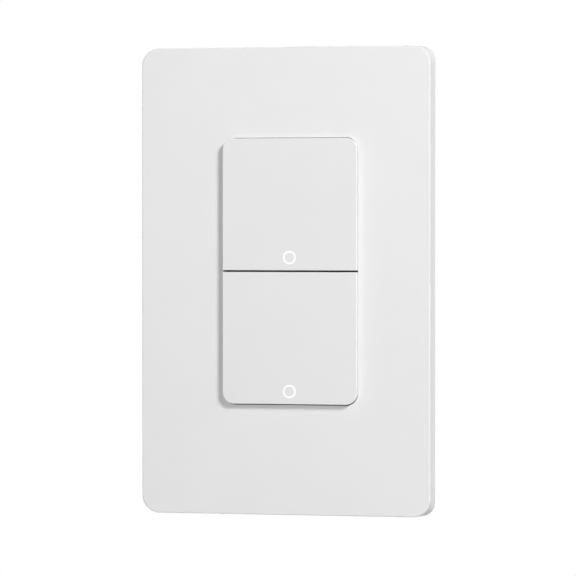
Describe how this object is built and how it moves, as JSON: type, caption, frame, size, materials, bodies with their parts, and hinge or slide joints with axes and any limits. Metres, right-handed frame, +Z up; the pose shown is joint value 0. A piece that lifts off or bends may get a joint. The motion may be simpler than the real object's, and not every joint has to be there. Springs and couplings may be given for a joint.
{
  "type": "smart light switch",
  "caption": "Wall switch with a rounded plate, wide rocking keys with small ring lights, a steel yoke and a back box with wire terminals.",
  "frame": {"origin": "midway between the two mounting holes, on the back face of the yoke, in the wall's surface", "axes": "+Z up along the plate, +X to the right seen from the room, +Y into the wall"},
  "size_m": [0.076, 0.0385, 0.12],
  "materials": {
    "plate_plastic": "fine satin white moulding",
    "frame_plastic": "matte dark grey moulding",
    "key_plastic": "fine satin white moulding",
    "lens_plastic": "milky light guide",
    "galvanised_steel": "zinc plated strip",
    "shield_steel": "tinned sheet",
    "screw_steel": "zinc plated",
    "clamp_steel": "nickel plated",
    "screw_brass": "bright brass",
    "contact_brass": "plain brass strip",
    "green_paint": "green dyed plating",
    "box_plastic": "matte pale grey moulding",
    "terminal_plastic": "matte black moulding",
    "board_laminate": "green lacquered laminate",
    "radio_laminate": "blue lacquered laminate",
    "black_plastic": "matte black moulding",
    "relay_plastic": "smooth blue case",
    "core_iron": "dark pressed ferrite",
    "copper_winding": "taped winding",
    "capacitor_sleeve": "dark shrink sleeve",
    "varistor_coat": "blue epoxy coat",
    "fuse_glass": "clear tube",
    "plunger_plastic": "matte pale moulding",
    "led_package": "white package"
  },
  "bodies": {
    "base": {"wall_plate": "plate_plastic", "snap_frame": "frame_plastic", "snap_frame_screws": "screw_steel", "yoke": "galvanised_steel", "ground_screw": "green_paint", "key_frame": "frame_plastic", "control_board": "board_laminate", "control_board_screws": "screw_steel", "control_chip": "black_plastic", "radio_board": "radio_laminate", "radio_shield": "shield_steel", "board_socket": "black_plastic", "board_pins": "contact_brass", "power_board": "board_laminate", "power_board_screws": "screw_steel", "left_relay": "relay_plastic", "right_relay": "relay_plastic", "transformer_core": "core_iron", "transformer_winding": "copper_winding", "filter_capacitor": "capacitor_sleeve", "varistor": "varistor_coat", "fuse": "fuse_glass", "rectifier": "black_plastic", "back_box": "box_plastic", "housing_screws": "screw_steel", "terminal_block": "terminal_plastic", "terminal_screws": "screw_brass", "terminal_clamps": "clamp_steel", "terminal_contacts": "contact_brass", "upper_tact_switch": "black_plastic", "lower_tact_switch": "black_plastic", "upper_led": "led_package", "lower_led": "led_package"},
    "upper_rocker": {"upper_key": "key_plastic", "upper_ring_lens": "lens_plastic", "upper_ring_cap": "key_plastic"},
    "lower_rocker": {"lower_key": "key_plastic", "lower_ring_lens": "lens_plastic", "lower_ring_cap": "key_plastic"},
    "upper_pusher": {"upper_tact_plunger": "plunger_plastic"},
    "lower_pusher": {"lower_tact_plunger": "plunger_plastic"}
  },
  "joints": [
    {"name": "upper_key_press", "type": "hinge", "parent": "base", "child": "upper_rocker", "pos_m": [0.00152, -0.00255, 0.03408], "axis": [1, 0, 0], "range_deg": [0, 1.3], "stiffness_Nm_per_rad": 1.5, "springref_deg": -0.29},
    {"name": "upper_plunger_slide", "type": "slide", "parent": "base", "child": "upper_pusher", "axis": [0, 1, 0], "range_m": [0, 0.00055]},
    {"name": "lower_key_press", "type": "hinge", "parent": "base", "child": "lower_rocker", "pos_m": [0.00152, -0.00255, -0.00015], "axis": [1, 0, 0], "range_deg": [0, 1.3], "stiffness_Nm_per_rad": 1.5, "springref_deg": -0.29},
    {"name": "lower_plunger_slide", "type": "slide", "parent": "base", "child": "lower_pusher", "axis": [0, 1, 0], "range_m": [0, 0.00055]}
  ],
  "couplings": [
    {"joint": "upper_plunger_slide", "follows": "upper_key_press", "m_per_rad": 0.022},
    {"joint": "lower_plunger_slide", "follows": "lower_key_press", "m_per_rad": 0.022}
  ]
}
